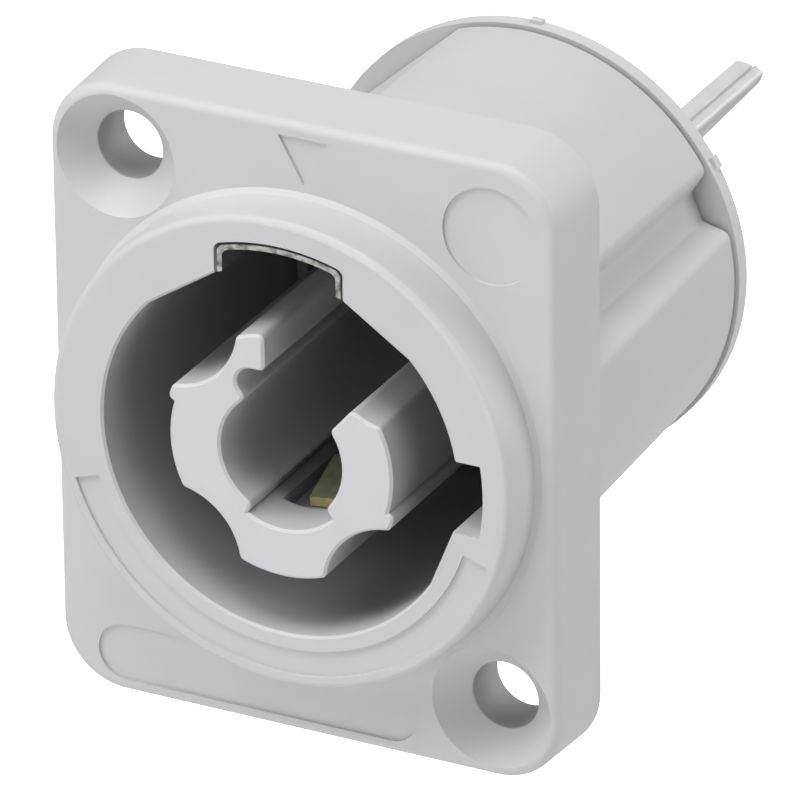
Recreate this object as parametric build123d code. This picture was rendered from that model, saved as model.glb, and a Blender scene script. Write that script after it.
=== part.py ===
"""Panel mount power connector: a square moulded flange with a round locking socket in front,
a tapered barrel behind it, and three flat blade terminals at the back.

Frame: X to the right seen from the front, Z up, the socket faces -Y.
Origin: on the socket's axis, in the flange's rear face, which lies against the panel.
All lengths are in millimetres and all angles in degrees, anticlockwise from +X seen from the front.
"""
from build123d import *
import math
import os

# Socket: the round well that the cable plug turns in.
SOCKET_R = 9.1
SOCKET_MOUTH_CHAMFER = 0.12
SOCKET_FLATS = ((123.0, 13.5), (56.0, 13.5), (-22.0, 10.5))
STOP_LIP_HEIGHT = 0.55
STOP_LIP_THICKNESS = 0.9

# Collar: the raised ring round the socket's mouth.
COLLAR_WALL = 2.65
COLLAR_RISE = 2.5
COLLAR_DRAFT_DEG = 4.0
COLLAR_EDGE_R = 0.35
COLLAR_FOOT_CHAMFER = 0.22

# Flange: the standard small upright outline with two diagonal screw holes.
FLANGE_SIDE_MARGIN = 1.35
FLANGE_HEIGHT = 31.4
FLANGE_THICKNESS = 4.0
FLANGE_CORNER_R = 3.4
FLANGE_DRAFT_DEG = 2.8
FLANGE_EDGE_R = 0.45
SCREW_FROM_SIDE = 3.6
SCREW_FROM_END = 3.7
SCREW_HOLE_R = 1.7
COUNTERSINK_R = 3.05
COUNTERSINK_DEPTH = 1.45

# Barrel: the part behind the panel, drafted towards its end.
BARREL_WALL = 2.55
BARREL_TAPER = 0.7
BARREL_LENGTH = 18.7
BARREL_FLAT_AXIS_DEG = 131.7
BARREL_FLAT_WALL = 0.95

# Keyway groove along the outside of the barrel.
GROOVE_AXIS_DEG = 22.2
GROOVE_FLOOR_WALL = 0.62
GROOVE_FLOOR_WIDTH = 1.5
GROOVE_FLOOR_CORNER_R = 0.3
GROOVE_FLANK_DEG = 54.0
GROOVE_EDGE_R = 0.55

# Latch keyway at the top of the well and the coding keyway at its right.
LATCH_KEYWAY_LEFT = 3.15
LATCH_KEYWAY_RIGHT = 3.42
LATCH_KEYWAY_WALL = 1.26
LATCH_KEYWAY_CORNER_R = 0.42
CODING_KEYWAY_TOP = 1.62
CODING_KEYWAY_BOTTOM = 2.0
CODING_KEYWAY_WALL = 1.35
KEYWAY_DEPTH = 13.5

# Latch strike: a bent strip of spring steel that lines the latch keyway and ends on its floor.
STRIKE_THICKNESS = 0.25
STRIKE_SETBACK = 0.05
STRIKE_CLEARANCE = 0.14
STRIKE_WINDOW_WIDTH = 3.0
STRIKE_WINDOW_LENGTH = 4.0
STRIKE_WINDOW_FROM_FRONT = 5.5

# Shallow bare recesses in the front faces.
MARK_DEPTH = 0.16
MARK_COLLAR_MARGIN = 0.05
TRIANGLE_WIDTH = 2.55
TRIANGLE_HEIGHT = 2.3
TRIANGLE_FROM_TOP = 0.9
TRIANGLE_X = 0.17
DIAL_FROM_SIDE = 3.5
DIAL_FROM_TOP = 3.83
DIAL_R = 2.4
LABEL_X = -2.65
LABEL_FROM_BOTTOM = 2.25
LABEL_LENGTH = 16.7
LABEL_HEIGHT = 2.9
BAND_FROM_EDGE = 0.6
BAND_WIDTH = 1.3
BAND_START_DEG = -162.0
BAND_END_DEG = -18.0

# Core: the lobed insulator that stands in the well, a little below and right of its middle.
CORE_X = 0.08
CORE_Z = -0.14
CORE_R = 6.07
CORE_SIDE_R = 5.72
CORE_SIDE_FROM_DEG = -17.0
CORE_SIDE_TO_DEG = 40.0
SCALLOP_DEG = 46.8
SCALLOP_AXIS_R = 8.3
SCALLOP_R = 3.5
CORE_CORNER_R = 0.32
CORE_FRONT_CHAMFER = 0.13
CORE_BORE_R = 3.12
CORE_MOUTH_LEFT_X = -0.77
CORE_MOUTH_RIGHT_R = 3.17
CORE_MOUTH_RIGHT_DEG = 35.8
CORE_MOUTH_WALL_DEG = 49.5
CORE_NOTCH_R = 0.75
CORE_NOTCH_X = -1.48
CORE_NOTCH_Z = 3.4

# Pocket at the foot of the bore: a shallow lip in front of the earth blade's chamber.
POCKET_R = 3.65
POCKET_AXIS_DEG = 278.2
POCKET_SWEEP_DEG = 74.5
POCKET_LIP_DEPTH = 2.5
CHAMBER_GAP_RIGHT = 0.1
CHAMBER_GAP_LEFT = 0.95

# Base of the contact carrier and the rear cover that closes the barrel.
BASE_THICKNESS = 4.0
CARRIER_CLEARANCE = 0.05
COVER_SPIGOT_DEPTH = 1.1
COVER_OVERHANG = 0.17
COVER_RIM_THICKNESS = 0.97
COVER_SHADOW_GAP = 0.2
COVER_SEAT_MARGIN = 0.1
COVER_EDGE_CHAMFER = 0.18
COVER_LAND_HEIGHT = 0.35
COVER_LAND_MARGIN = 0.75
COVER_NUB_ANGLES = (88.5, 31.0)
COVER_NUB_WIDTH = 0.62
COVER_NUB_HEIGHT = 0.17
COVER_NUB_LENGTH = 0.45

# Contacts: flat terminals behind the cover, blades that reach into the well in front of it.
TAB_WIDTH = 6.35
TAB_LEAF_THICKNESS = 0.75
TAB_PROJECTION = 10.9
TAB_OUTER_END = 8.6
TAB_OFFSET = 1.21
TAB_CORNER_CHAMFER = 0.5
TAB_POINT_LENGTH = 0.85
TAB_POINT_THICKNESS = 0.35
TAB_SHORT_LEAF_SETBACK = 0.75
TAB_SHORT_LEAF_BEVEL = 0.6
TAB_ROLLED_EDGE_R = 0.42
TAB_SEAM_DEPTH = 0.07
TAB_HOLE_R = 0.8
TAB_HOLE_FROM_TIP = 4.4
TAB_SLOT_CLEARANCE = 0.06
FOOT_THICKNESS = 0.8
FOOT_WIDTH = 2.2
BLADE_WIDTH = 2.1
BLADE_THICKNESS = 0.45
BLADE_CLEARANCE = 0.05
SIDE_BLADE_SETBACK = 9.0
EARTH_BLADE_R = 4.05
EARTH_BLADE_SHIFT = 0.5
EARTH_BLADE_SETBACK = 3.3
LEAF_RISE = 0.95
LEAF_LENGTH = 2.7
LINE_TAB_DEG = 49.5
NEUTRAL_TAB_DEG = 169.5
EARTH_TAB_DEG = 289.5
LINE_BLADE_DEG = 4.0
NEUTRAL_BLADE_DEG = 184.0
EARTH_BLADE_DEG = 276.0

# Places that follow from the sizes above.
COLLAR_R = SOCKET_R + COLLAR_WALL
COLLAR_BASE_R = COLLAR_R + COLLAR_RISE * math.tan(math.radians(COLLAR_DRAFT_DEG))
FLANGE_WIDTH = 2 * (COLLAR_R + FLANGE_SIDE_MARGIN)
FLANGE_FRONT_Y = -FLANGE_THICKNESS
FRONT_Y = FLANGE_FRONT_Y - COLLAR_RISE
BARREL_FRONT_R = SOCKET_R + BARREL_WALL
BARREL_END_R = BARREL_FRONT_R - BARREL_TAPER
GROOVE_FLOOR_R = SOCKET_R + GROOVE_FLOOR_WALL
LATCH_KEYWAY_R = COLLAR_R - LATCH_KEYWAY_WALL
CODING_KEYWAY_R = COLLAR_R - CODING_KEYWAY_WALL
BASE_END_Y = BARREL_LENGTH - COVER_SPIGOT_DEPTH
BASE_FRONT_Y = BASE_END_Y - BASE_THICKNESS
CARRIER_R = SOCKET_R - CARRIER_CLEARANCE
COVER_R = BARREL_END_R + COVER_OVERHANG
COVER_RIM_Y = BARREL_LENGTH + COVER_SHADOW_GAP
COVER_REAR_Y = COVER_RIM_Y + COVER_RIM_THICKNESS
TAB_THICKNESS = 2 * TAB_LEAF_THICKNESS
TAB_TIP_Y = COVER_REAR_Y + TAB_PROJECTION
TAB_MIDDLE = TAB_OUTER_END - TAB_WIDTH / 2
FOOT_Y = BASE_END_Y - FOOT_THICKNESS


def prism(face, y_front, y_rear, taper=0.0):
    """A face drawn in X and Z, extruded between two depths."""
    plane = Plane.XZ.offset(-y_rear)
    return extrude(plane * face, amount=y_rear - y_front, taper=taper)


def drum(radius, y_front, y_rear):
    """A round solid about the socket's axis."""
    return prism(Circle(radius), y_front, y_rear)


def polar(radius, degrees):
    """A point in X and Z by its distance from the axis and its angle."""
    angle = math.radians(degrees)
    return (radius * math.cos(angle), radius * math.sin(angle))


def sector(radius, from_deg, to_deg):
    """A pie-shaped face between two angles."""
    middle = polar(radius, (from_deg + to_deg) / 2)
    outline = Line((0, 0), polar(radius, from_deg))
    outline += ThreePointArc(polar(radius, from_deg), middle, polar(radius, to_deg))
    outline += Line(polar(radius, to_deg), (0, 0))
    return make_face(outline)


def half_plane(distance, degrees):
    """A large square whose near side lies across the given direction."""
    size = 4 * FLANGE_HEIGHT
    centre = polar(distance + size / 2, degrees)
    return Pos(*centre) * Rot(0, 0, degrees) * Rectangle(size, size)


def socket_outline():
    """The well's section: a circle with three short flats beside the keyways."""
    face = Circle(SOCKET_R)
    for degrees, half_sweep in SOCKET_FLATS:
        face -= half_plane(SOCKET_R * math.cos(math.radians(half_sweep)), degrees)
    return face


def latch_keyway_outline(inset=0.0):
    """The keyway at twelve o'clock: straight sides under an arched top."""
    width = LATCH_KEYWAY_LEFT + LATCH_KEYWAY_RIGHT - 2 * inset
    centre_x = (LATCH_KEYWAY_RIGHT - LATCH_KEYWAY_LEFT) / 2
    half_height = LATCH_KEYWAY_R / 2
    sides = Pos(centre_x, half_height) * Rectangle(width, LATCH_KEYWAY_R)
    face = sides & Circle(LATCH_KEYWAY_R - inset)
    top = face.vertices().group_by(Axis.Y)[-2:]
    return fillet([v for group in top for v in group], LATCH_KEYWAY_CORNER_R)


def coding_keyway_outline():
    """The keyway at three o'clock."""
    height = CODING_KEYWAY_TOP + CODING_KEYWAY_BOTTOM
    centre_z = (CODING_KEYWAY_TOP - CODING_KEYWAY_BOTTOM) / 2
    sides = Pos(CODING_KEYWAY_R / 2, centre_z) * Rectangle(CODING_KEYWAY_R, height)
    return sides & Circle(CODING_KEYWAY_R)


def flange():
    """The drafted upright plate with rounded corners."""
    draft = FLANGE_THICKNESS * math.tan(math.radians(FLANGE_DRAFT_DEG))
    outline = RectangleRounded(FLANGE_WIDTH, FLANGE_HEIGHT, FLANGE_CORNER_R)
    plate = prism(outline, FLANGE_FRONT_Y, 0, taper=FLANGE_DRAFT_DEG)
    edge_r = min(FLANGE_EDGE_R, (FLANGE_CORNER_R - draft) / 2)
    return fillet(plate.faces().sort_by(Axis.Y)[0].edges(), edge_r)


def collar():
    """The raised ring in front of the flange."""
    ring = prism(Circle(COLLAR_BASE_R), FRONT_Y, FLANGE_FRONT_Y, taper=COLLAR_DRAFT_DEG)
    return fillet(ring.faces().sort_by(Axis.Y)[0].edges(), COLLAR_EDGE_R)


def groove_outline():
    """The trapezium cut along the outside of the barrel."""
    depth = BARREL_FRONT_R - GROOVE_FLOOR_R + 1.0
    spread = depth / math.tan(math.radians(GROOVE_FLANK_DEG))
    half_floor = GROOVE_FLOOR_WIDTH / 2
    half_mouth = half_floor + spread
    points = [
        (GROOVE_FLOOR_R, -half_floor),
        (GROOVE_FLOOR_R + depth, -half_mouth),
        (GROOVE_FLOOR_R + depth, half_mouth),
        (GROOVE_FLOOR_R, half_floor),
    ]
    face = make_face(Polyline(*points, close=True))
    face = fillet(face.vertices().group_by(Axis.X)[0], GROOVE_FLOOR_CORNER_R)
    return Rot(0, 0, GROOVE_AXIS_DEG) * face


def barrel_section(radius):
    """The barrel's section at one depth: a disc with one flat and one outside groove."""
    face = Circle(radius) - half_plane(SOCKET_R + BARREL_FLAT_WALL, BARREL_FLAT_AXIS_DEG)
    face -= groove_outline()
    edge_points = [v for v in face.vertices() if v.X > 0]
    outer = sorted(edge_points, key=lambda v: -math.hypot(v.X, v.Y))[:2]
    return fillet(outer, GROOVE_EDGE_R)


def barrel():
    """The drafted tube behind the flange."""
    front = Plane.XZ * barrel_section(BARREL_FRONT_R)
    end = Plane.XZ.offset(-BARREL_LENGTH) * barrel_section(BARREL_END_R)
    return loft([front, end], ruled=True)


def front_marks():
    """Bare recesses in the flange: the triangle, the round field and the long field."""
    half = TRIANGLE_WIDTH / 2
    top_z = FLANGE_HEIGHT / 2 - TRIANGLE_FROM_TOP
    corners = [
        (TRIANGLE_X - half, top_z),
        (TRIANGLE_X + half, top_z),
        (TRIANGLE_X, top_z - TRIANGLE_HEIGHT),
    ]
    fields = make_face(Polyline(*corners, close=True))
    dial = Pos(FLANGE_WIDTH / 2 - DIAL_FROM_SIDE, FLANGE_HEIGHT / 2 - DIAL_FROM_TOP)
    fields += dial * Circle(DIAL_R)
    label = Pos(LABEL_X, LABEL_FROM_BOTTOM - FLANGE_HEIGHT / 2)
    fields += label * SlotOverall(LABEL_LENGTH, LABEL_HEIGHT)
    fields -= Circle(COLLAR_BASE_R + COLLAR_FOOT_CHAMFER + MARK_COLLAR_MARGIN)
    return prism(fields, FLANGE_FRONT_Y - 1.0, FLANGE_FRONT_Y + MARK_DEPTH)


def band_mark():
    """The arched bare recess in the collar's front face."""
    outer_r = COLLAR_R - BAND_FROM_EDGE
    arc = sector(outer_r, BAND_START_DEG, BAND_END_DEG) - Circle(outer_r - BAND_WIDTH)
    return prism(arc, FRONT_Y - 1.0, FRONT_Y + MARK_DEPTH)


def screw_places():
    """The two diagonal screw holes, top left and bottom right."""
    x = FLANGE_WIDTH / 2 - SCREW_FROM_SIDE
    z = FLANGE_HEIGHT / 2 - SCREW_FROM_END
    return ((-x, z), (x, -z))


def screw_cut():
    """One countersunk screw hole at the origin."""
    hole = drum(SCREW_HOLE_R, FLANGE_FRONT_Y - 1.0, 1.0)
    slope = (COUNTERSINK_R - SCREW_HOLE_R) / COUNTERSINK_DEPTH
    outer = COUNTERSINK_R + slope
    profile = make_face(Polyline(
        (0, FLANGE_FRONT_Y - 1.0),
        (outer, FLANGE_FRONT_Y - 1.0),
        (SCREW_HOLE_R, FLANGE_FRONT_Y + COUNTERSINK_DEPTH),
        (0, FLANGE_FRONT_Y + COUNTERSINK_DEPTH),
        close=True,
    ))
    return hole + revolve(profile, Axis.Y)


def housing():
    """Flange, collar and barrel in one moulding, with the well cut through it."""
    body = flange() + collar() + barrel()
    foot = [
        e for e in body.edges().filter_by(GeomType.CIRCLE)
        if abs(e.center().Y - FLANGE_FRONT_Y) < 1e-3 and e.radius > COLLAR_R
    ]
    body = chamfer(foot, COLLAR_FOOT_CHAMFER)
    lip_y = BASE_FRONT_Y - STOP_LIP_THICKNESS
    body -= prism(socket_outline(), FRONT_Y - 1.0, lip_y)
    body -= prism(socket_outline(), FRONT_Y, FRONT_Y + SOCKET_MOUTH_CHAMFER, taper=-45)
    body -= drum(SOCKET_R - STOP_LIP_HEIGHT, lip_y - 1.0, BASE_FRONT_Y)
    body -= drum(SOCKET_R, BASE_FRONT_Y, BARREL_LENGTH + 1.0)
    keyways = latch_keyway_outline() + coding_keyway_outline()
    body -= prism(keyways, FRONT_Y - 1.0, FRONT_Y + KEYWAY_DEPTH)
    for x, z in screw_places():
        body -= Pos(x, 0, z) * screw_cut()
    body -= front_marks() + band_mark()
    return body


def latch_strike():
    """The bent steel strip in the latch keyway, with a window that the plug's latch drops into."""
    outer = latch_keyway_outline(STRIKE_CLEARANCE) - Circle(SOCKET_R)
    inner = latch_keyway_outline(STRIKE_CLEARANCE + STRIKE_THICKNESS)
    front = FRONT_Y + STRIKE_SETBACK
    strip = prism(outer - inner, front, FRONT_Y + KEYWAY_DEPTH)
    window_y = front + STRIKE_WINDOW_FROM_FRONT
    centre_x = (LATCH_KEYWAY_RIGHT - LATCH_KEYWAY_LEFT) / 2
    window = Pos(centre_x, LATCH_KEYWAY_R) * Rectangle(STRIKE_WINDOW_WIDTH, 2.0)
    return strip - prism(window, window_y, window_y + STRIKE_WINDOW_LENGTH)


def core_mouth():
    """The core's open side at one o'clock, with the round notch at its left."""
    wall_start = polar(CORE_MOUTH_RIGHT_R, CORE_MOUTH_RIGHT_DEG)
    wall_step = polar(2 * CORE_R, CORE_MOUTH_WALL_DEG)
    wall_end = (wall_start[0] + wall_step[0], wall_start[1] + wall_step[1])
    mouth = make_face(Polyline(
        (CORE_MOUTH_LEFT_X, 0),
        wall_start,
        wall_end,
        (CORE_MOUTH_LEFT_X, wall_end[1]),
        close=True,
    ))
    notch = Pos(CORE_NOTCH_X, CORE_NOTCH_Z) * Circle(CORE_NOTCH_R)
    notch += Pos(CORE_NOTCH_X / 2, CORE_NOTCH_Z) * Rectangle(-CORE_NOTCH_X, 2 * CORE_NOTCH_R)
    return mouth + notch


def pocket_outline():
    """The sector at the foot of the bore."""
    half = POCKET_SWEEP_DEG / 2
    return sector(POCKET_R, POCKET_AXIS_DEG - half, POCKET_AXIS_DEG + half)


def core_outline():
    """The lobed section of the insulator: four scallops, two set-back sides and an open bore."""
    face = Circle(CORE_R)
    for turn in (0, 180):
        side = sector(2 * CORE_R, CORE_SIDE_FROM_DEG + turn, CORE_SIDE_TO_DEG + turn)
        face -= side - Circle(CORE_SIDE_R)
    for degrees in (SCALLOP_DEG, 180 - SCALLOP_DEG, 180 + SCALLOP_DEG, -SCALLOP_DEG):
        face -= Pos(*polar(SCALLOP_AXIS_R, degrees)) * Circle(SCALLOP_R)
    face -= core_mouth() + Circle(CORE_BORE_R) + pocket_outline()
    shrunk = offset(face, amount=-CORE_CORNER_R, kind=Kind.ARC)
    return offset(shrunk, amount=CORE_CORNER_R, kind=Kind.ARC)


def blade_outline(radius, degrees, shift, margin=0.0):
    """The section of one blade: a strip across the given direction, its outer side at radius."""
    strip = Rectangle(BLADE_THICKNESS + 2 * margin, BLADE_WIDTH + 2 * margin)
    return Rot(0, 0, degrees) * Pos(radius - BLADE_THICKNESS / 2, shift) * strip


def foot_outline(radius, blade_deg, tab_deg, margin=0.0):
    """The flat foot that joins a blade to its tab, an arched strip about the axis."""
    middle = radius - BLADE_THICKNESS / 2
    half = FOOT_WIDTH / 2 + margin
    overlap = math.degrees(half / middle)
    seat_deg = tab_deg - math.degrees(math.asin(TAB_OFFSET / middle))
    low = min(blade_deg, seat_deg) - overlap
    high = max(blade_deg, seat_deg) + overlap
    return sector(middle + half, low, high) - Circle(middle - half)


def tab_outline(degrees, margin=0.0):
    """The section of one tab: a strip that runs outward, a little beside the axis."""
    strip = Rectangle(TAB_WIDTH + 2 * margin, TAB_THICKNESS + 2 * margin)
    return Rot(0, 0, degrees) * Pos(TAB_MIDDLE, -TAB_OFFSET) * strip


def tab_side():
    """The tab from its edge: two leaves of folded sheet, a pointed one and a shorter one."""
    short_end = TAB_TIP_Y - TAB_SHORT_LEAF_SETBACK
    return make_face(Polyline(
        (FOOT_Y, -TAB_LEAF_THICKNESS),
        (TAB_TIP_Y - TAB_POINT_LENGTH, -TAB_LEAF_THICKNESS),
        (TAB_TIP_Y, -TAB_POINT_THICKNESS),
        (TAB_TIP_Y, 0),
        (short_end, 0),
        (short_end, TAB_LEAF_THICKNESS - TAB_SHORT_LEAF_BEVEL),
        (short_end - TAB_SHORT_LEAF_BEVEL, TAB_LEAF_THICKNESS),
        (FOOT_Y, TAB_LEAF_THICKNESS),
        close=True,
    ))


def tab_solid(degrees):
    """One flat terminal with chamfered corners, a seam between its leaves and a locating hole."""
    half = TAB_WIDTH / 2
    flat = make_face(Polyline(
        (-half, FOOT_Y),
        (-half, TAB_TIP_Y - TAB_CORNER_CHAMFER),
        (-half + TAB_CORNER_CHAMFER, TAB_TIP_Y),
        (half - TAB_CORNER_CHAMFER, TAB_TIP_Y),
        (half, TAB_TIP_Y - TAB_CORNER_CHAMFER),
        (half, FOOT_Y),
        close=True,
    ))
    flat -= Pos(0, TAB_TIP_Y - TAB_HOLE_FROM_TIP) * Circle(TAB_HOLE_R)
    strip = extrude(Plane.YZ * tab_side(), amount=half, both=True)
    rolled = strip.edges().filter_by(Axis.Y).group_by(Axis.Z)[0]
    strip = fillet(rolled, TAB_ROLLED_EDGE_R)
    seam = make_face(Polyline(
        (half - TAB_SEAM_DEPTH, 0),
        (half, TAB_SEAM_DEPTH),
        (half, -TAB_SEAM_DEPTH),
        close=True,
    ))
    strip -= prism(seam + mirror(seam, about=Plane.YZ), COVER_REAR_Y, TAB_TIP_Y)
    plate = strip & extrude(flat, amount=TAB_THICKNESS, both=True)
    return Rot(0, -degrees, 0) * Pos(TAB_MIDDLE, 0, -TAB_OFFSET) * plate


def earth_leaf():
    """The earth blade's front: a leaf spring that bends towards the bore and back."""
    inner = EARTH_BLADE_R - BLADE_THICKNESS
    front_y = FRONT_Y + EARTH_BLADE_SETBACK
    crest_y = front_y + LEAF_LENGTH
    profile = make_face(Polyline(
        (inner, front_y),
        (inner - LEAF_RISE, crest_y),
        (inner, crest_y + LEAF_LENGTH),
        (inner, BASE_END_Y),
        (EARTH_BLADE_R, BASE_END_Y),
        (EARTH_BLADE_R, crest_y + LEAF_LENGTH),
        (EARTH_BLADE_R - LEAF_RISE, crest_y),
        (EARTH_BLADE_R, front_y),
        close=True,
    ))
    leaf = extrude(profile, amount=BLADE_WIDTH / 2, both=True)
    return Rot(0, -EARTH_BLADE_DEG, 0) * Pos(0, 0, EARTH_BLADE_SHIFT) * leaf


def side_contact(blade_deg, tab_deg):
    """A line or neutral contact: blade, foot and tab in one piece."""
    front_y = FRONT_Y + SIDE_BLADE_SETBACK
    blade = prism(blade_outline(CORE_SIDE_R, blade_deg, 0), front_y, BASE_END_Y)
    foot = prism(foot_outline(CORE_SIDE_R, blade_deg, tab_deg), FOOT_Y, BASE_END_Y)
    return blade + foot + tab_solid(tab_deg)


def earth_contact():
    """The earth contact: leaf, foot and tab in one piece."""
    foot = prism(foot_outline(EARTH_BLADE_R, EARTH_BLADE_DEG, EARTH_TAB_DEG), FOOT_Y, BASE_END_Y)
    return earth_leaf() + foot + tab_solid(EARTH_TAB_DEG)


def contact_seat(radius, blade_deg, tab_deg, shift, blade_front_y):
    """The room that the carrier leaves for one contact."""
    rear_y = BASE_END_Y + 1.0
    seat = prism(blade_outline(radius, blade_deg, shift, BLADE_CLEARANCE), blade_front_y, rear_y)
    seat += prism(foot_outline(radius, blade_deg, tab_deg, BLADE_CLEARANCE), FOOT_Y, rear_y)
    return seat + prism(tab_outline(tab_deg, TAB_SLOT_CLEARANCE), FOOT_Y, rear_y)


def earth_chamber():
    """The earth leaf's chamber behind the pocket's lip."""
    left = EARTH_BLADE_SHIFT - BLADE_WIDTH / 2 - CHAMBER_GAP_LEFT
    right = EARTH_BLADE_SHIFT + BLADE_WIDTH / 2 + CHAMBER_GAP_RIGHT
    outer = EARTH_BLADE_R + BLADE_CLEARANCE
    strip = Pos(outer / 2, (left + right) / 2) * Rectangle(outer, right - left)
    face = Rot(0, 0, EARTH_BLADE_DEG) * strip
    return prism(face, FRONT_Y + POCKET_LIP_DEPTH, BASE_FRONT_Y)


def contact_carrier():
    """The lobed core and the round base behind it, one moulding that holds the contacts."""
    core = prism(Pos(CORE_X, CORE_Z) * core_outline(), FRONT_Y, BASE_FRONT_Y)
    core = chamfer(core.faces().sort_by(Axis.Y)[0].edges(), CORE_FRONT_CHAMFER)
    body = core + drum(CARRIER_R, BASE_FRONT_Y, BASE_END_Y)
    body -= earth_chamber()
    side_y = FRONT_Y + SIDE_BLADE_SETBACK
    body -= contact_seat(CORE_SIDE_R, LINE_BLADE_DEG, LINE_TAB_DEG, 0, side_y)
    body -= contact_seat(CORE_SIDE_R, NEUTRAL_BLADE_DEG, NEUTRAL_TAB_DEG, 0, side_y)
    leaf_y = FRONT_Y + EARTH_BLADE_SETBACK
    body -= contact_seat(EARTH_BLADE_R, EARTH_BLADE_DEG, EARTH_TAB_DEG, EARTH_BLADE_SHIFT, leaf_y)
    return body


def rear_cover():
    """The disc that closes the barrel, with a spigot inside and a slot for each tab."""
    body = drum(COVER_R, COVER_RIM_Y, COVER_REAR_Y)
    body = chamfer(body.faces().sort_by(Axis.Y)[-1].edges(), COVER_EDGE_CHAMFER)
    body += drum(GROOVE_FLOOR_R - COVER_SEAT_MARGIN, BARREL_LENGTH, COVER_RIM_Y)
    body += drum(CARRIER_R, BASE_END_Y, BARREL_LENGTH)
    nub_end = COVER_REAR_Y - COVER_EDGE_CHAMFER
    for degrees in COVER_NUB_ANGLES:
        nub = Pos(*polar(COVER_R, degrees)) * Rot(0, 0, degrees)
        nub *= Rectangle(2 * COVER_NUB_HEIGHT, COVER_NUB_WIDTH)
        body += prism(nub, nub_end - COVER_NUB_LENGTH, nub_end)
    tab_angles = (LINE_TAB_DEG, NEUTRAL_TAB_DEG, EARTH_TAB_DEG)
    for degrees in tab_angles:
        land = tab_outline(degrees, COVER_LAND_MARGIN)
        body += prism(land, COVER_REAR_Y, COVER_REAR_Y + COVER_LAND_HEIGHT)
    for degrees in tab_angles:
        slot = tab_outline(degrees, TAB_SLOT_CLEARANCE)
        body -= prism(slot, BASE_END_Y - 1.0, COVER_REAR_Y + COVER_LAND_HEIGHT + 1.0)
    return body


def parts():
    """Every separate piece by its node name."""
    return {
        "housing": housing(),
        "contact_carrier": contact_carrier(),
        "latch_strike": latch_strike(),
        "rear_cover": rear_cover(),
        "line_contact": side_contact(LINE_BLADE_DEG, LINE_TAB_DEG),
        "neutral_contact": side_contact(NEUTRAL_BLADE_DEG, NEUTRAL_TAB_DEG),
        "earth_contact": earth_contact(),
    }


os.makedirs("parts", exist_ok=True)
for node_name, solid in parts().items():
    export_step(solid, f"parts/{node_name}.step")
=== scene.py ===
import math

import bpy
from mathutils import Matrix, Vector


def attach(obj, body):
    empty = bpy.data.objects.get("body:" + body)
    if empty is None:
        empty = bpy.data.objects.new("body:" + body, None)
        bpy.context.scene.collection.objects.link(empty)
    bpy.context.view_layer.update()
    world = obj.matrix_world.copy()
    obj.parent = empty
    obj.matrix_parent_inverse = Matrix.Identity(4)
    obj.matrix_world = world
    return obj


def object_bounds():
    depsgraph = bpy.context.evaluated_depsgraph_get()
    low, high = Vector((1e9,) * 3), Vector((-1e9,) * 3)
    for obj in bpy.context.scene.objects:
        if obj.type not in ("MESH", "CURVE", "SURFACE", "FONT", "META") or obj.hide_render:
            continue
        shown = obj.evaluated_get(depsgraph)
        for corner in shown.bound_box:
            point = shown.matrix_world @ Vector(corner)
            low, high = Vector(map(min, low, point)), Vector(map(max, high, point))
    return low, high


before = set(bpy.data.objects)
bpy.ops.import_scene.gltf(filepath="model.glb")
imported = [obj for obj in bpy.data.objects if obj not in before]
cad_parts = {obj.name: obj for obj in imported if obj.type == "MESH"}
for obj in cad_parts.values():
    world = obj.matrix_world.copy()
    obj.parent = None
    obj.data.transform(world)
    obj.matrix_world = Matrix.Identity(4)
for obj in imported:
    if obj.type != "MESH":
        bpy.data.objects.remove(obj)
CAD_BOX = [list(corner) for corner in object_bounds()]
scene = bpy.context.scene
bpy.ops.object.select_all(action="DESELECT")


# Housing: the flange, the collar round the well and the barrel, moulded in one from light grey
# engineering plastic. The steel tool leaves a fine satin skin and a faintly cloudy colour.
# Inside the well and keyways, and down the screw bores, the grey is darkened with depth: painted
# shade.
HOUSING_GREY = (0.605, 0.608, 0.612)
PLASTIC_GLOSS = 0.42
CLOUDS_PER_METRE = 160
CLOUD_DETAIL = 3
CLOUD_SPAN = (0.3, 0.7)
CLOUD_DARKEST = 0.975
CLOUD_LIGHTEST = 1.02
SATIN_ROUGHNESS = (0.40, 0.52)
SKIN_GRAINS_PER_METRE = 14000
SKIN_GRAIN_DETAIL = 2
SKIN_GRAIN_HEIGHT = 0.00002
SKIN_GRAIN_STRENGTH = 0.12
# Painted shade: how far the colour is darkened inside the well, keyways and screw bores, and
# where.
WELL_MOUTH_Y = -0.00645
WELL_R = 0.0092
WELL_SHADE = 0.345
WELL_SHADED_Y = -0.0031
DEEP_SHADE = 0.16
DEEP_Y = (-0.0010, 0.0090)
FLOOR_SHADE = 0.32
FLOOR_Y = (0.0110, 0.0132)
LATCH_KEYWAY_X = (-0.0032, 0.0035)
LATCH_KEYWAY_Z = (0.0083, 0.0105)
CODING_KEYWAY_X = (0.0083, 0.01055)
CODING_KEYWAY_Z = (-0.0021, 0.0021)
KEYWAY_END_Y = 0.0072
BEHIND_STRIKE_Y = (-0.0030, -0.0012)
BEHIND_STRIKE_SHADE = 0.45
SCREW_HOLES = ((-0.0095, 0.0120), (0.0095, -0.0120))
SCREW_BORE_R = 0.00175
SCREW_BORE_Y = (-0.00265, -0.0023)
SCREW_BORE_SHADE = 0.34
BLACK = (0, 0, 0, 1)
COLOUR_MIX_INPUTS = (0, 6, 7)
COLOUR_MIX_OUTPUT = 2


def maths(tree, operation, first, second=0.0):
    node = tree.nodes.new("ShaderNodeMath")
    node.operation = operation
    for socket, value in zip(node.inputs, (first, second)):
        if isinstance(value, (int, float)):
            socket.default_value = value
        else:
            tree.links.new(value, socket)
    return node.outputs[0]


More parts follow.
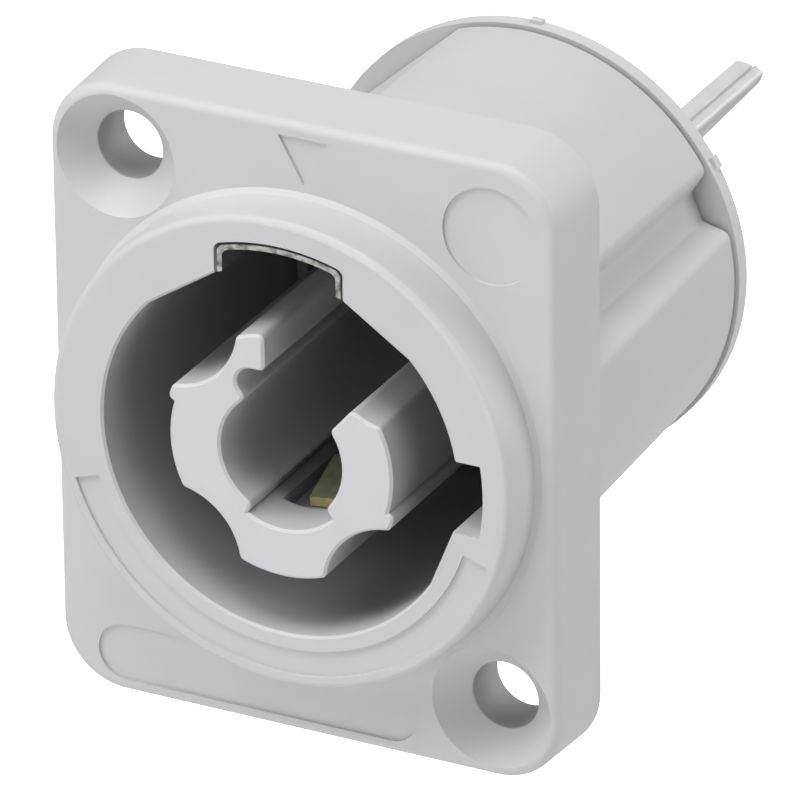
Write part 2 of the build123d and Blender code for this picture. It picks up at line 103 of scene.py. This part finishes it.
def graded(tree, value, start, end, low=0.0, high=1.0):
    node = tree.nodes.new("ShaderNodeMapRange")
    node.interpolation_type = "SMOOTHSTEP"
    node.inputs["From Min"].default_value = start
    node.inputs["From Max"].default_value = end
    node.inputs["To Min"].default_value = low
    node.inputs["To Max"].default_value = high
    tree.links.new(value, node.inputs["Value"])
    return node.outputs["Result"]


def cloudy(tree, place, per_metre, detail):
    node = tree.nodes.new("ShaderNodeTexNoise")
    node.inputs["Scale"].default_value = per_metre
    node.inputs["Detail"].default_value = detail
    tree.links.new(place, node.inputs["Vector"])
    return node.outputs["Fac"]


def two_tones(tree, value, span, dark, light):
    node = tree.nodes.new("ShaderNodeValToRGB")
    for stop, position, colour in zip(node.color_ramp.elements, span, (dark, light)):
        stop.position = position
        stop.color = (*colour, 1)
    tree.links.new(value, node.inputs["Fac"])
    return node.outputs["Color"]


def mixed_colour(tree, share, first, second):
    node = tree.nodes.new("ShaderNodeMix")
    node.data_type = "RGBA"
    for index, value in zip(COLOUR_MIX_INPUTS, (share, first, second)):
        if isinstance(value, tuple):
            node.inputs[index].default_value = value
        else:
            tree.links.new(value, node.inputs[index])
    return node.outputs[COLOUR_MIX_OUTPUT]


def raised(tree, height, strength, distance):
    node = tree.nodes.new("ShaderNodeBump")
    node.inputs["Strength"].default_value = strength
    node.inputs["Distance"].default_value = distance
    tree.links.new(height, node.inputs["Height"])
    return node.outputs["Normal"]


def between(tree, value, limits):
    above = maths(tree, "GREATER_THAN", value, limits[0])
    below = maths(tree, "LESS_THAN", value, limits[1])
    return maths(tree, "MULTIPLY", above, below)


def distance_from(tree, spot, centre):
    across = maths(tree, "SUBTRACT", spot["X"], centre[0])
    upward = maths(tree, "SUBTRACT", spot["Z"], centre[1])
    squares = maths(
        tree,
        "ADD",
        maths(tree, "MULTIPLY", across, across),
        maths(tree, "MULTIPLY", upward, upward),
    )
    return maths(tree, "SQRT", squares)


def inside_keyway(tree, spot, x_limits, z_limits):
    across = between(tree, spot["X"], x_limits)
    upward = between(tree, spot["Z"], z_limits)
    depth = maths(tree, "LESS_THAN", spot["Y"], KEYWAY_END_Y)
    return maths(tree, "MULTIPLY", depth, maths(tree, "MULTIPLY", across, upward))


# Painted shade: darkens the colour inside the well and keyways, more with depth and on the
# keyway wall behind the strike, to stand in for the shade that falls in them.
def painted_well_shade(tree, spot):
    well = maths(tree, "LESS_THAN", distance_from(tree, spot, (0.0, 0.0)), WELL_R)
    latch_keyway = inside_keyway(tree, spot, LATCH_KEYWAY_X, LATCH_KEYWAY_Z)
    coding_keyway = inside_keyway(tree, spot, CODING_KEYWAY_X, CODING_KEYWAY_Z)
    keyways = maths(tree, "MAXIMUM", latch_keyway, coding_keyway)
    well_or_keyway = maths(tree, "MAXIMUM", well, keyways)
    shallow = graded(tree, spot["Y"], WELL_MOUTH_Y, WELL_SHADED_Y, 0.0, WELL_SHADE)
    deep = graded(tree, spot["Y"], *DEEP_Y, 0.0, DEEP_SHADE)
    deepest = maths(tree, "ADD", deep, graded(tree, spot["Y"], *FLOOR_Y, 0.0, FLOOR_SHADE))
    shade = maths(tree, "MULTIPLY", well_or_keyway, maths(tree, "ADD", shallow, deepest))
    behind_strike = graded(tree, spot["Y"], *BEHIND_STRIKE_Y, 0.0, BEHIND_STRIKE_SHADE)
    return maths(tree, "ADD", shade, maths(tree, "MULTIPLY", latch_keyway, behind_strike))


# Painted shade: darkens the colour down the two screw bores, to stand in for the shade inside
# them.
def painted_screw_bore_shade(tree, spot):
    first, second = SCREW_HOLES
    nearest = maths(
        tree, "MINIMUM", distance_from(tree, spot, first), distance_from(tree, spot, second)
    )
    bore = maths(tree, "LESS_THAN", nearest, SCREW_BORE_R)
    depth = graded(tree, spot["Y"], *SCREW_BORE_Y, 0.0, SCREW_BORE_SHADE)
    return maths(tree, "MULTIPLY", bore, depth)


def moulded_plastic(name, colour, shades):
    material = bpy.data.materials.new(name)
    material.use_nodes = True
    tree = material.node_tree
    shader = tree.nodes["Principled BSDF"]
    shader.inputs["Specular IOR Level"].default_value = PLASTIC_GLOSS
    place = tree.nodes.new("ShaderNodeTexCoord").outputs["Object"]
    split = tree.nodes.new("ShaderNodeSeparateXYZ")
    tree.links.new(place, split.inputs[0])
    clouds = cloudy(tree, place, CLOUDS_PER_METRE, CLOUD_DETAIL)
    darkest = [c * CLOUD_DARKEST for c in colour]
    lightest = [c * CLOUD_LIGHTEST for c in colour]
    skin_colour = two_tones(tree, clouds, CLOUD_SPAN, darkest, lightest)
    # Each shade mixes the colour towards black: painted shade.
    for shade in shades:
        skin_colour = mixed_colour(tree, shade(tree, split.outputs), skin_colour, BLACK)
    tree.links.new(skin_colour, shader.inputs["Base Color"])
    satin = graded(tree, clouds, 0.0, 1.0, *SATIN_ROUGHNESS)
    tree.links.new(satin, shader.inputs["Roughness"])
    grain = cloudy(tree, place, SKIN_GRAINS_PER_METRE, SKIN_GRAIN_DETAIL)
    skin = raised(tree, grain, SKIN_GRAIN_STRENGTH, SKIN_GRAIN_HEIGHT)
    tree.links.new(skin, shader.inputs["Normal"])
    return material


def finish_with(name, material):
    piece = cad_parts[name]
    piece.data.materials.clear()
    piece.data.materials.append(material)


housing_painted_shades = (painted_well_shade, painted_screw_bore_shade)
housing_plastic = moulded_plastic("housing_plastic", HOUSING_GREY, housing_painted_shades)
finish_with("housing", housing_plastic)


# Latch strike: a strip of bright spring steel, bent to line the top keyway and pushed in from
# the front. Rolling leaves fine streaks along it, and the shears leave its front edge torn and
# blotched.
STEEL = (0.56, 0.55, 0.52)
STEEL_DARKEST = 0.94
STEEL_ROUGHNESS = 0.32
SMOOTHEST_STREAK = 0.75
ROUGHEST_STREAK = 1.35
STREAKS_PER_METRE = (9000, 260, 9000)
STREAK_DETAIL = 4
STREAK_HEIGHT = 0.00001
STREAK_STRENGTH = 0.10
SHEARED_EDGE_Y = (-0.00641, -0.00638)
TORN_DARK = (0.14, 0.14, 0.13)
TORN_BRIGHT = (0.50, 0.50, 0.46)
TEARS_PER_METRE = 2300
TEAR_DETAIL = 3
TEAR_SPAN = (0.36, 0.56)


def rolled_strip(name, roughness):
    material = bpy.data.materials.new(name)
    material.use_nodes = True
    tree = material.node_tree
    shader = tree.nodes["Principled BSDF"]
    shader.inputs["Metallic"].default_value = 1.0
    place = tree.nodes.new("ShaderNodeTexCoord").outputs["Object"]
    along = tree.nodes.new("ShaderNodeMapping")
    along.inputs["Scale"].default_value = STREAKS_PER_METRE
    tree.links.new(place, along.inputs["Vector"])
    streaks = cloudy(tree, along.outputs["Vector"], 1.0, STREAK_DETAIL)
    smoothest = roughness * SMOOTHEST_STREAK
    roughest = roughness * ROUGHEST_STREAK
    rolled = graded(tree, streaks, 0.0, 1.0, smoothest, roughest)
    tree.links.new(rolled, shader.inputs["Roughness"])
    grooves = raised(tree, streaks, STREAK_STRENGTH, STREAK_HEIGHT)
    tree.links.new(grooves, shader.inputs["Normal"])
    return material, tree, shader, place


def change_along(tree, place, limits, front, rear):
    split = tree.nodes.new("ShaderNodeSeparateXYZ")
    tree.links.new(place, split.inputs[0])
    return mixed_colour(tree, graded(tree, split.outputs["Y"], *limits), front, rear)


spring_steel, tree, shader, place = rolled_strip("spring_steel", STEEL_ROUGHNESS)
tears = cloudy(tree, place, TEARS_PER_METRE, TEAR_DETAIL)
torn = two_tones(tree, tears, TEAR_SPAN, TORN_DARK, TORN_BRIGHT)
clouds = cloudy(tree, place, CLOUDS_PER_METRE, CLOUD_DETAIL)
bright = two_tones(tree, clouds, CLOUD_SPAN, [c * STEEL_DARKEST for c in STEEL], STEEL)
strip_colour = change_along(tree, place, SHEARED_EDGE_Y, torn, bright)
tree.links.new(strip_colour, shader.inputs["Base Color"])
finish_with("latch_strike", spring_steel)


# Contact carrier: the lobed core, a second moulding in a slightly lighter, bluer grey, pushed
# into the barrel from behind to hold the contacts. Inside the well, round the earth blade's
# chamber and on the core's right side its grey is darkened: painted shade.
CARRIER_GREY = (0.655, 0.661, 0.674)
# Painted shade settings for the earth blade's chamber and the core's right side.
CORE_AXIS = (0.00008, -0.00014)
CHAMBER_R = (0.00322, 0.0046)
CHAMBER_BELOW_Z = -0.0012
CHAMBER_Y = (-0.0043, -0.0030)
CHAMBER_SHADE = 0.55
CORE_SIDE_X = (0.0042, 0.0054)
CORE_SIDE_Y = (-0.0062, -0.0035)
CORE_SIDE_SHADE = 0.30


# Painted shade: darkens the colour of the earth blade's chamber walls, more with depth, to stand
# in for the shade in the chamber.
def painted_chamber_shade(tree, spot):
    ring = between(tree, distance_from(tree, spot, CORE_AXIS), CHAMBER_R)
    low = maths(tree, "LESS_THAN", spot["Z"], CHAMBER_BELOW_Z)
    depth = graded(tree, spot["Y"], *CHAMBER_Y, 0.0, CHAMBER_SHADE)
    return maths(tree, "MULTIPLY", maths(tree, "MULTIPLY", ring, low), depth)


# Painted shade: darkens the colour of the core's right side behind its front, to stand in for
# the shade there.
def painted_core_side_shade(tree, spot):
    side = graded(tree, spot["X"], *CORE_SIDE_X)
    depth = graded(tree, spot["Y"], *CORE_SIDE_Y, 0.0, CORE_SIDE_SHADE)
    return maths(tree, "MULTIPLY", side, depth)


carrier_painted_shades = (painted_well_shade, painted_chamber_shade, painted_core_side_shade)
carrier_plastic = moulded_plastic("carrier_plastic", CARRIER_GREY, carrier_painted_shades)
finish_with("contact_carrier", carrier_plastic)


# Contacts: each is stamped from brass strip, a blade in the core and a tab folded double behind
# the cover. The brass is dull and a little green in the core and tinned on the tab. The earth
# blade's front end is brighter and yellower: part bare brass where the punch cut it, part
# painted highlight of the lit end.
BRASS_DULL = (0.42, 0.46, 0.27)
BRASS_BRIGHT = (0.64, 0.65, 0.40)
BRASS_SPAN = (0.35, 0.62)
# Painted highlight, partly bare cut brass: brighter, yellower colours for the earth blade's
# front end.
BRASS_CUT_HIGHLIGHT_DULL = (0.62, 0.53, 0.22)
BRASS_CUT_HIGHLIGHT_BRIGHT = (0.86, 0.76, 0.38)
BRASS_CUT_HIGHLIGHT_Y = (-0.00316, -0.00312)
TARNISH_PER_METRE = 900
TARNISH_DETAIL = 3
TIN_DULL = (0.47, 0.47, 0.46)
TIN_BRIGHT = (0.52, 0.52, 0.51)
TIN_SPAN = (0.30, 0.70)
TINNING_Y = (0.0170, 0.0185)
CONTACT_ROUGHNESS = 0.40
tinned_brass, tree, shader, place = rolled_strip("tinned_brass", CONTACT_ROUGHNESS)
tarnish = cloudy(tree, place, TARNISH_PER_METRE, TARNISH_DETAIL)
brass = two_tones(tree, tarnish, BRASS_SPAN, BRASS_DULL, BRASS_BRIGHT)
# Painted highlight, partly bare cut brass, for the earth blade's front end.
cut_and_highlight = two_tones(tree, tarnish, BRASS_SPAN, BRASS_CUT_HIGHLIGHT_DULL, BRASS_CUT_HIGHLIGHT_BRIGHT)
tin = two_tones(tree, tarnish, TIN_SPAN, TIN_DULL, TIN_BRIGHT)
blade = change_along(tree, place, BRASS_CUT_HIGHLIGHT_Y, cut_and_highlight, brass)
tree.links.new(change_along(tree, place, TINNING_Y, blade, tin), shader.inputs["Base Color"])
for name in ("line_contact", "neutral_contact", "earth_contact"):
    finish_with(name, tinned_brass)


# Rear cover: a disc of the housing's plastic, moulded with two nubs on its rim and a raised land
# round each tab, and welded to the barrel's end. Its grey is painted lighter than the housing's,
# to stand in for the light on its rim.
# Painted light: a lighter grey than the housing's, for the light on the cover's rim.
COVER_PAINTED_LIGHTER_GREY = (0.645, 0.648, 0.650)
cover_plastic = moulded_plastic("cover_plastic", COVER_PAINTED_LIGHTER_GREY, ())
finish_with("rear_cover", cover_plastic)


# Pin marks: where four ejector pins pushed the mouldings out of the tool, two behind the
# flange's free corners and two on the cover's outer face. Each is a thin ring of flash, moulded
# round the flat end of its pin.
FLANGE_BACK_Y = 0.0
FLANGE_PIN_R = 0.0012
FLANGE_PINS = ((0.0099, 0.0122), (-0.0099, -0.0122))
COVER_FACE_Y = 0.01987
COVER_PIN_R = 0.0008
COVER_PINS = ((-0.0027, 0.0075), (0.0079, -0.0015))
FLASH_HEIGHT = 0.00004
FLASH_WIDTH = 0.00006
FLASH_ROOT = 0.00010
FLASH_FLOOR = 0.00001
FLASH_SLOPE = 0.00002
PIN_SIDES = 72
PIN_SMOOTH_ANGLE = math.radians(20)
FACING_BACK = 0.9
FACE_REACH = 0.25


def outer_face(piece, centre, reach):
    bpy.ops.object.mode_set(mode="EDIT")
    bpy.ops.mesh.select_mode(type="FACE")
    bpy.ops.mesh.select_all(action="DESELECT")
    bpy.ops.object.mode_set(mode="OBJECT")
    for face in piece.data.polygons:
        off_axis = math.hypot(face.center.x - centre[0], face.center.z - centre[1])
        face.select = face.normal.y > FACING_BACK and off_axis < reach
    bpy.ops.object.mode_set(mode="EDIT")


def round_pad(name, centre, face_y, radius, root, height, sides):
    bpy.ops.object.select_all(action="DESELECT")
    bpy.ops.mesh.primitive_cylinder_add(
        vertices=sides,
        radius=radius,
        depth=root + height,
        location=(centre[0], face_y + (height - root) / 2, centre[1]),
        rotation=(math.radians(-90), 0, 0),
    )
    pad = bpy.context.object
    pad.name = name
    bpy.ops.object.transform_apply(location=True, rotation=True, scale=True)
    outer_face(pad, centre, radius * FACE_REACH)
    return pad


def pin_mark(name, centre, face_y, radius):
    mark = round_pad(name, centre, face_y, radius, FLASH_ROOT, FLASH_HEIGHT, PIN_SIDES)
    narrowed = 1 - FLASH_SLOPE / radius
    bpy.ops.transform.resize(
        value=(narrowed, 1, narrowed), center_override=(centre[0], face_y, centre[1])
    )
    bpy.ops.mesh.inset(thickness=FLASH_WIDTH)
    bpy.ops.mesh.inset(thickness=FLASH_SLOPE)
    bpy.ops.transform.translate(value=(0, FLASH_FLOOR - FLASH_HEIGHT, 0))
    bpy.ops.object.mode_set(mode="OBJECT")
    bpy.ops.object.shade_smooth_by_angle(angle=PIN_SMOOTH_ANGLE)
    return mark


def copied_mark(mark, name, centre, new_centre):
    twin = mark.copy()
    twin.data = mark.data.copy()
    twin.name = name
    shift = (new_centre[0] - centre[0], 0, new_centre[1] - centre[1])
    twin.data.transform(Matrix.Translation(shift))
    scene.collection.objects.link(twin)
    return twin


for moulding, pins, face_y, radius, plastic, slot in (
    ("flange", FLANGE_PINS, FLANGE_BACK_Y, FLANGE_PIN_R, housing_plastic, "grey_moulding"),
    ("cover", COVER_PINS, COVER_FACE_Y, COVER_PIN_R, cover_plastic, "grey_cover"),
):
    first_mark = pin_mark(moulding + "_pin_mark_1", pins[0], face_y, radius)
    first_mark.data.materials.append(plastic)
    second_mark = copied_mark(first_mark, moulding + "_pin_mark_2", pins[0], pins[1])
    for mark in (first_mark, second_mark):
        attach(mark, "root")


# Gate mark: where the plastic entered the cover's mould and its sprue was twisted off. It is a
# low round pad of the cover's plastic, with a dished middle and a torn, leaning stub.
GATE = (-0.0042, -0.0049)
GATE_SIDES = 40
GATE_ROOT = 0.00010
GATE_PAD_R = 0.00080
GATE_PAD_HEIGHT = 0.00008
GATE_RIM = 0.00014
GATE_DISH = 0.00005
GATE_STUB_R = 0.00026
GATE_STUB_HEIGHT = 0.00020
GATE_STUB_TAPER = 0.82
GATE_STUB_LEAN = math.radians(18)
GATE_STUB_TIP = GATE_STUB_R / 3
GATE_EDGE = 0.00003
GATE_EDGE_STEPS = 2
GATE_SMOOTH_ANGLE = math.radians(35)
stub_top = (GATE[0], COVER_FACE_Y + GATE_STUB_HEIGHT, GATE[1])
gate_mark = round_pad(
    "gate_mark", GATE, COVER_FACE_Y, GATE_PAD_R, GATE_ROOT, GATE_PAD_HEIGHT, GATE_SIDES
)
bpy.ops.mesh.bevel(offset=GATE_EDGE, segments=GATE_EDGE_STEPS, affect="EDGES")
outer_face(gate_mark, GATE, GATE_EDGE)
bpy.ops.mesh.inset(thickness=GATE_RIM)
bpy.ops.mesh.inset(thickness=GATE_EDGE)
bpy.ops.transform.translate(value=(0, -GATE_DISH, 0))
bpy.ops.mesh.inset(thickness=GATE_PAD_R - GATE_RIM - 2 * GATE_EDGE - GATE_STUB_R)
bpy.ops.mesh.extrude_region_move(TRANSFORM_OT_translate={"value": (0, GATE_STUB_HEIGHT, 0)})
bpy.ops.transform.resize(
    value=(GATE_STUB_TAPER, 1, GATE_STUB_TAPER), center_override=stub_top
)
bpy.ops.transform.rotate(value=GATE_STUB_LEAN, orient_axis="X", center_override=stub_top)
bpy.ops.mesh.inset(thickness=GATE_STUB_TIP)
bpy.ops.transform.translate(value=(0, GATE_EDGE, 0))
bpy.ops.object.mode_set(mode="OBJECT")
bpy.ops.object.shade_smooth_by_angle(angle=GATE_SMOOTH_ANGLE)
gate_mark.data.materials.append(cover_plastic)
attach(gate_mark, "root")


# Floor: a white sheet well below the connector, so its shadow falls clear of the object. To the
# camera it glows a little, so that it is as white as the room behind it.
FLOOR_DROP = 0.030
FLOOR_SIDE = 6
SHEET_WHITE = (0.82, 0.82, 0.82, 1)
SHEET_ROUGHNESS = 0.9
SHEET_GLOSS = 0.1
SHEET_GLOW = 0.62
FULL_WHITE = (1, 1, 1, 1)
bpy.ops.mesh.primitive_plane_add(size=FLOOR_SIDE, location=(0, 0, CAD_BOX[0][2] - FLOOR_DROP))
floor = bpy.context.object
floor.name = "floor"
floor_sheet = bpy.data.materials.new("floor_sheet")
floor_sheet.use_nodes = True
tree = floor_sheet.node_tree
shader = tree.nodes["Principled BSDF"]
shader.inputs["Base Color"].default_value = SHEET_WHITE
shader.inputs["Roughness"].default_value = SHEET_ROUGHNESS
shader.inputs["Specular IOR Level"].default_value = SHEET_GLOSS
shader.inputs["Emission Color"].default_value = FULL_WHITE
light_path = tree.nodes.new("ShaderNodeLightPath")
glow = maths(tree, "MULTIPLY", light_path.outputs["Is Camera Ray"], SHEET_GLOW)
tree.links.new(glow, shader.inputs["Emission Strength"])
floor.data.materials.append(floor_sheet)


# Room: dark round the object, so that the well is in shade, but white to the camera and in
# polished metal.
ROOM_LIGHT = 0.02
ROOM_WHITE = 1.0
room = bpy.data.worlds.new("room")
scene.world = room
room.use_nodes = True
tree = room.node_tree
tree.nodes.clear()
light_path = tree.nodes.new("ShaderNodeLightPath")
seen_directly = maths(
    tree,
    "MAXIMUM",
    light_path.outputs["Is Camera Ray"],
    light_path.outputs["Is Transmission Ray"],
)
seen_white = maths(tree, "MAXIMUM", seen_directly, light_path.outputs["Is Glossy Ray"])
dark_room = tree.nodes.new("ShaderNodeBackground")
dark_room.inputs["Color"].default_value = FULL_WHITE
dark_room.inputs["Strength"].default_value = ROOM_LIGHT
white_room = tree.nodes.new("ShaderNodeBackground")
white_room.inputs["Color"].default_value = FULL_WHITE
white_room.inputs["Strength"].default_value = ROOM_WHITE
mixed_room = tree.nodes.new("ShaderNodeMixShader")
tree.links.new(seen_white, mixed_room.inputs[0])
tree.links.new(dark_room.outputs[0], mixed_room.inputs[1])
tree.links.new(white_room.outputs[0], mixed_room.inputs[2])
room_output = tree.nodes.new("ShaderNodeOutputWorld")
tree.links.new(mixed_room.outputs[0], room_output.inputs["Surface"])


# Lamps: four square soft panels about 0.6 m off, one steeply above, one above left, one in
# front and one behind at the right. Those on the left and in front are a touch bluer.
PANEL_SIDE = 0.36
PLAIN_WHITE = (1.0, 1.0, 1.0)
COOL_WHITE = (0.955, 0.976, 1.0)
WARM_WHITE = (1.0, 1.0, 0.98)


def soft_panel(name, place, watts, tint):
    light = bpy.data.lights.new(name, "AREA")
    light.shape = "SQUARE"
    light.size = PANEL_SIDE
    light.energy = watts
    light.color = tint
    lamp = bpy.data.objects.new(name, light)
    lamp.location = place
    lamp.rotation_euler = (-Vector(place)).to_track_quat("-Z", "Y").to_euler()
    scene.collection.objects.link(lamp)


soft_panel("steep_panel", place=(0, -0.120, 0.588), watts=2.30, tint=PLAIN_WHITE)
soft_panel("left_panel", place=(-0.302, -0.302, 0.422), watts=1.54, tint=COOL_WHITE)
soft_panel("front_panel", place=(0, -0.597, 0.060), watts=1.27, tint=COOL_WHITE)
soft_panel("rear_panel", place=(0.479, 0.270, 0.240), watts=1.56, tint=WARM_WHITE)


# Camera: far off, to the right of the socket and above it, with a long lens, so the flange's
# sides stay nearly parallel. It aims at a point beside the socket's axis.
CAMERA_AZIMUTH = math.radians(27.384)
CAMERA_ELEVATION = math.radians(26.136)
CAMERA_ROLL = math.radians(-0.650)
CAMERA_DISTANCE = 0.49761
AIM_RIGHT = 0.002571
AIM_UP = -0.000080
SENSOR_WIDTH = 36.0
FOCAL_PIXELS = 10828.5
IMAGE_PIXELS = 800
NEAREST_SEEN = 0.01
FARTHEST_SEEN = 20
back = Vector((
    math.sin(CAMERA_AZIMUTH) * math.cos(CAMERA_ELEVATION),
    -math.cos(CAMERA_AZIMUTH) * math.cos(CAMERA_ELEVATION),
    math.sin(CAMERA_ELEVATION),
))
level = Vector((math.cos(CAMERA_AZIMUTH), math.sin(CAMERA_AZIMUTH), 0))
upright = back.cross(level)
right = math.cos(CAMERA_ROLL) * level + math.sin(CAMERA_ROLL) * upright
up = math.cos(CAMERA_ROLL) * upright - math.sin(CAMERA_ROLL) * level
lens = bpy.data.cameras.new("view")
lens.lens = SENSOR_WIDTH * FOCAL_PIXELS / IMAGE_PIXELS
lens.sensor_width = SENSOR_WIDTH
lens.clip_start = NEAREST_SEEN
lens.clip_end = FARTHEST_SEEN
camera = bpy.data.objects.new("view", lens)
stand = right * AIM_RIGHT + up * AIM_UP + back * CAMERA_DISTANCE
camera.matrix_world = Matrix.Translation(stand) @ Matrix((right, up, back)).transposed().to_4x4()
scene.collection.objects.link(camera)
scene.camera = camera
scene.view_settings.view_transform = "Standard"
